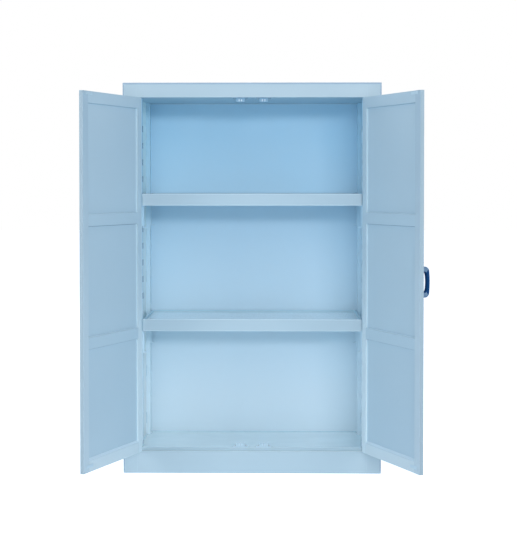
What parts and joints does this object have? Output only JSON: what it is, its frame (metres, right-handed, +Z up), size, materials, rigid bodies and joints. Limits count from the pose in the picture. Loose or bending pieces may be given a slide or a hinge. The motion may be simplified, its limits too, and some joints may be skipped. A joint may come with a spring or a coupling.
{
  "type": "acid storage cabinet",
  "caption": "Free-standing double-walled plastic cabinet for corrosive liquids, with framed swing doors on pinned hinges, lift-off tray shelves on slotted uprights and magnetic catches.",
  "frame": {"origin": "centre of the cabinet's footprint, on the floor under the base panel", "axes": "+Z up, the doors and the open front face -Y, +X to the right of someone who faces the front; the doors are stored open, as in the picture"},
  "size_m": [1.3605, 0.9223, 1.65],
  "materials": {
    "cabinet_sheet": "pale blue extruded sheet, fine satin",
    "lining_sheet": "pale blue extruded sheet, fine satin",
    "door_sheet": "pale blue extruded sheet, fine satin",
    "shelf_sheet": "pale blue extruded sheet, fine satin",
    "racking": "pale blue machined plastic",
    "hinge_plastic": "pale blue machined plastic",
    "handle": "navy moulded plastic, semi-gloss",
    "handle_cap": "lighter navy plug, semi-gloss",
    "catch_case": "off-white moulded plastic",
    "magnet": "dark ferrite",
    "steel_plate": "brushed stainless plate",
    "steel_fixing": "turned stainless steel"
  },
  "bodies": {
    "cabinet": {"back_panel": "lining_sheet", "base_panel": "cabinet_sheet", "bottom_rail": "cabinet_sheet", "catch_cases": "catch_case", "catch_magnets": "magnet", "catch_poles": "steel_plate", "ceiling_bearers": "cabinet_sheet", "ceiling_panel": "lining_sheet", "floor_bearers": "cabinet_sheet", "floor_pan": "lining_sheet", "hinge_leaves_frame_left": "hinge_plastic", "hinge_leaves_frame_right": "hinge_plastic", "hinge_pins": "steel_fixing", "liner_left": "lining_sheet", "liner_right": "lining_sheet", "shelf_clips_lower": "racking", "shelf_clips_upper": "racking", "side_shell_left": "cabinet_sheet", "side_shell_right": "cabinet_sheet", "sill_bar": "lining_sheet", "top_panel": "cabinet_sheet", "top_rail": "cabinet_sheet", "upright_front_left": "racking", "upright_front_right": "racking", "upright_rear_left": "racking", "upright_rear_right": "racking", "wall_ribs_left": "cabinet_sheet", "wall_ribs_right": "cabinet_sheet"},
    "door_left": {"door_hinge_stile_left": "door_sheet", "door_meeting_stile_left": "door_sheet", "door_rails_left": "door_sheet", "door_skin_left": "door_sheet", "door_strikes_left": "steel_plate", "hinge_leaves_door_left": "hinge_plastic"},
    "door_right": {"door_hinge_stile_right": "door_sheet", "door_meeting_stile_right": "door_sheet", "door_rails_right": "door_sheet", "door_skin_right": "door_sheet", "door_strikes_right": "steel_plate", "handle": "handle", "handle_bolts": "steel_fixing", "handle_caps": "handle_cap", "hinge_leaves_door_right": "hinge_plastic"},
    "shelf_upper": {"shelf_upper_back_edge": "shelf_sheet", "shelf_upper_deck": "shelf_sheet", "shelf_upper_end_edges": "shelf_sheet", "shelf_upper_front_edge": "shelf_sheet", "shelf_upper_ribs": "shelf_sheet"},
    "shelf_lower": {"shelf_lower_back_edge": "shelf_sheet", "shelf_lower_deck": "shelf_sheet", "shelf_lower_end_edges": "shelf_sheet", "shelf_lower_front_edge": "shelf_sheet", "shelf_lower_ribs": "shelf_sheet"}
  },
  "joints": [
    {"name": "door_left_hinge", "type": "hinge", "parent": "cabinet", "child": "door_left", "pos_m": [-0.484, -0.2365, 0.84], "axis": [0, 0, -1], "range_deg": [-112, 63]},
    {"name": "door_right_hinge", "type": "hinge", "parent": "cabinet", "child": "door_right", "pos_m": [0.484, -0.2365, 0.84], "axis": [0, 0, 1], "range_deg": [-114, 61]},
    {"name": "shelf_upper_lift", "type": "slide", "parent": "cabinet", "child": "shelf_upper", "axis": [0, 0, 1], "range_m": [0, 0.04]},
    {"name": "shelf_lower_lift", "type": "slide", "parent": "cabinet", "child": "shelf_lower", "axis": [0, 0, 1], "range_m": [0, 0.04]}
  ]
}
